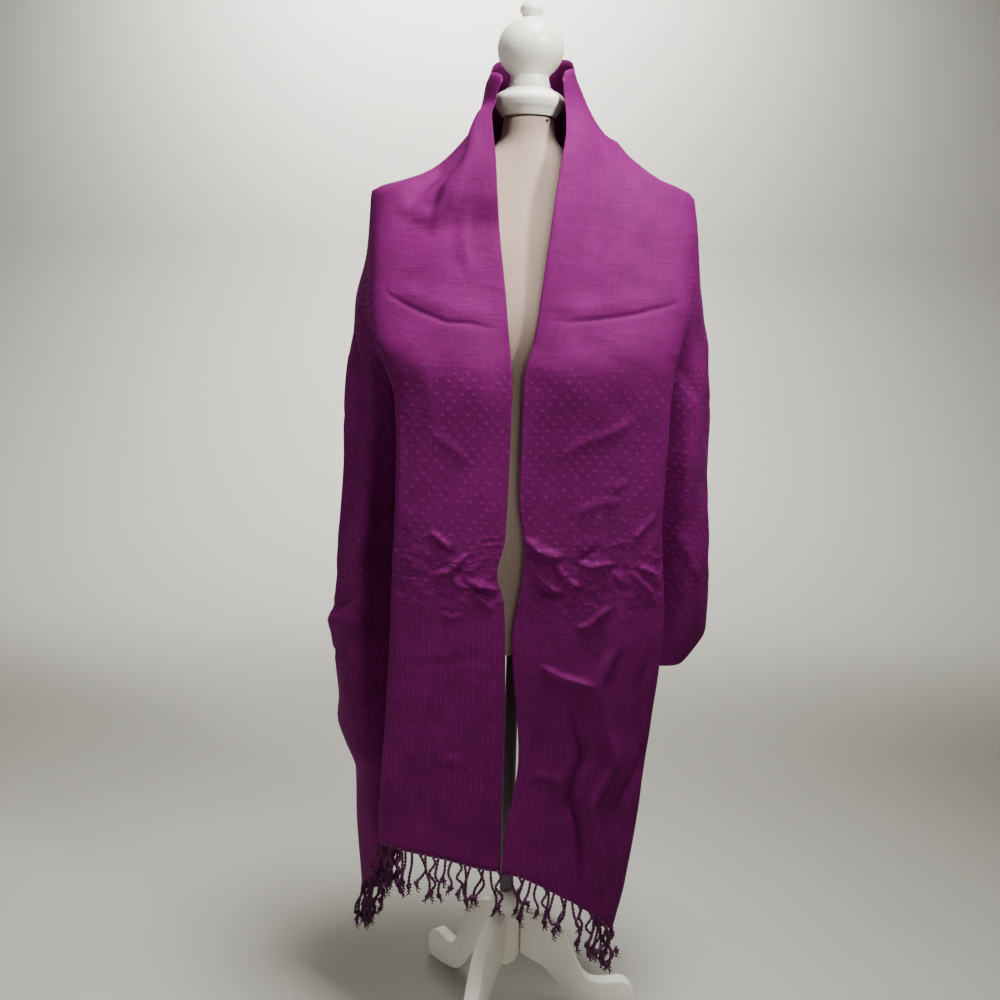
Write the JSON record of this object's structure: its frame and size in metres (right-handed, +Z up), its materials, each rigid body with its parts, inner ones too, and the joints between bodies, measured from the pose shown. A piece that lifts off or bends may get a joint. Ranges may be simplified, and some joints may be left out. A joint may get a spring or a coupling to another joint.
{
  "type": "fringed pashmina scarf worn open over a limbless dress form on a tripod stand",
  "caption": "Long fringed scarf worn open like a shawl, with a standing collar, over a limbless dress form with a turned finial on a wooden tripod stand.",
  "frame": {"origin": "middle of the whole part's box, on the floor that the three feet stand on", "axes": "+Z up, -Y the open front of the scarf, +X to the right as seen from the front"},
  "size_m": [0.4534, 0.3028, 1.24],
  "materials": {
    "cloth": "soft woven viscose pashmina with a low silky sheen, small dobby figures and ribbed bands",
    "fringe": "twisted and knotted yarn",
    "form_cover": "smooth pale cotton jersey stretched over a moulded form",
    "painted_wood": "warm white satin paint over turned and sawn wood",
    "enamelled_tube": "dark grey satin enamel on a steel tube"
  },
  "bodies": {
    "root": {"cloth_left_fall": "cloth", "cloth_left_shoulder": "cloth", "cloth_neck_and_back": "cloth", "cloth_right_shoulder": "cloth", "cloth_right_fall": "cloth", "fringe_left_front": "fringe", "fringe_left_side": "fringe", "fringe_right_front": "fringe", "form_torso": "form_cover", "neck_cap": "painted_wood", "finial": "painted_wood", "pole_socket": "painted_wood", "pole": "enamelled_tube", "stand_hub": "painted_wood", "stand_leg_right": "painted_wood", "stand_leg_rear_left": "painted_wood", "stand_leg_front": "painted_wood"}
  },
  "joints": []
}
